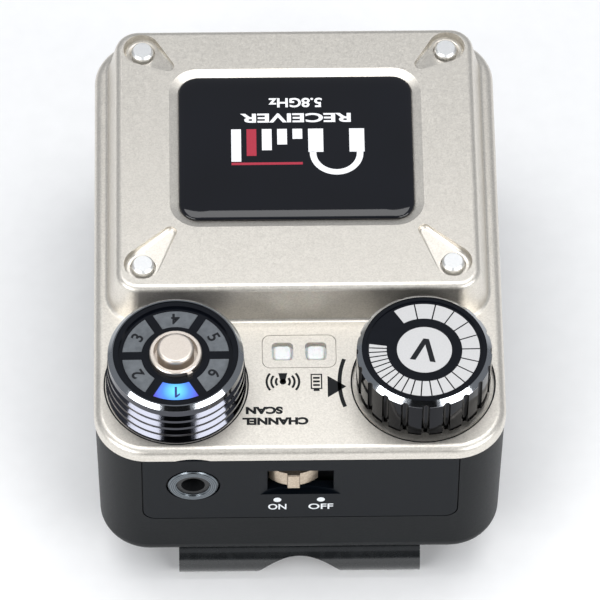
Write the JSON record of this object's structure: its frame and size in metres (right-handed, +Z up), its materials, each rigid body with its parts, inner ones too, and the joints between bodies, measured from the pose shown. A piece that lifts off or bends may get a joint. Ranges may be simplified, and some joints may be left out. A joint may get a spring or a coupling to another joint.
{
  "type": "belt-pack wireless audio receiver",
  "caption": "Belt-pack wireless receiver with a lit channel turret, push button, volume knob, slide switch, headphone jack and sprung belt clip.",
  "frame": {"origin": "middle of the pack in plan, on the plane that the belt clip's tongue rests on", "axes": "+Z up through the badge, -Y towards the control end with the headphone jack, +X to the volume knob's side"},
  "size_m": [0.062, 0.0776, 0.0466],
  "materials": {
    "black_case": "moulded satin ABS, fine texture",
    "silver_paint": "champagne-silver metallic paint on ABS",
    "gloss_black": "clear-domed gloss black",
    "chrome": "bright chrome plate",
    "milky_lens": "milky diffusing polycarbonate",
    "lamp": "light-emitting diode package",
    "satin_black": "satin black plastic",
    "lit_window": "translucent window lit blue",
    "grey_window": "translucent smoked window",
    "board_green": "glass-epoxy circuit board",
    "brass_pin": "plated contact",
    "champagne": "champagne anodised",
    "steel": "nickel plated",
    "nut_metal": "dark nickel",
    "battery_wrap": "pouch foil",
    "foam": "closed-cell foam tape",
    "white_nylon": "nylon housing",
    "wire": "insulated wire",
    "clip_steel": "gloss black coated spring steel"
  },
  "bodies": {
    "case": {"antennas": "steel", "badge_plate": "gloss_black", "battery_cell": "battery_wrap", "battery_leads": "wire", "battery_light_pipe": "milky_lens", "battery_pad": "foam", "battery_plug": "white_nylon", "board_chips": "satin_black", "board_screws": "steel", "bottom_shell": "black_case", "button_collar": "champagne", "case_screws": "steel", "channel_board": "board_green", "channel_lamps": "lamp", "channel_pins": "brass_pin", "channel_turret": "chrome", "channel_window_1": "lit_window", "channel_window_2": "grey_window", "channel_window_3": "grey_window", "channel_window_4": "grey_window", "channel_window_5": "grey_window", "channel_window_6": "grey_window", "clip_leg": "clip_steel", "clip_screws": "steel", "corner_studs": "chrome", "front_panel": "black_case", "headphone_jack": "satin_black", "indicator_bezel": "silver_paint", "jack_contacts": "brass_pin", "jack_nut": "nut_metal", "main_board": "board_green", "pot_legs": "brass_pin", "pot_nut": "steel", "power_switch": "steel", "rf_shield": "steel", "scan_switch": "satin_black", "signal_light_pipe": "milky_lens", "status_lamps": "lamp", "top_shell": "silver_paint", "turret_face": "satin_black", "usb_blade": "satin_black", "usb_shell": "steel", "volume_pot": "steel"},
    "volume_knob": {"knob_skirt": "chrome", "knob_disc": "satin_black", "pot_shaft": "steel"},
    "scan_button": {"scan_button": "champagne", "scan_plunger": "satin_black"},
    "power_slider": {"power_slider": "champagne", "switch_actuator": "satin_black"},
    "belt_clip": {"clip_tongue": "clip_steel"}
  },
  "joints": [
    {"name": "volume_turn", "type": "hinge", "parent": "case", "child": "volume_knob", "pos_m": [0.0186, -0.02635, 0.0457], "axis": [0, 0, -1], "range_deg": [0, 290]},
    {"name": "scan_press", "type": "slide", "parent": "case", "child": "scan_button", "axis": [0, 0, -1], "range_m": [0, 0.0004], "stiffness_N_per_m": 400, "springref_m": -0.0006},
    {"name": "power_slide", "type": "slide", "parent": "case", "child": "power_slider", "axis": [1, 0, 0], "range_m": [0, 0.0021]},
    {"name": "clip_open", "type": "hinge", "parent": "case", "child": "belt_clip", "pos_m": [0, -0.03459, 0.0065], "axis": [-1, 0, 0], "range_deg": [0, 6], "stiffness_Nm_per_rad": 1.6, "springref_deg": -2.29}
  ]
}
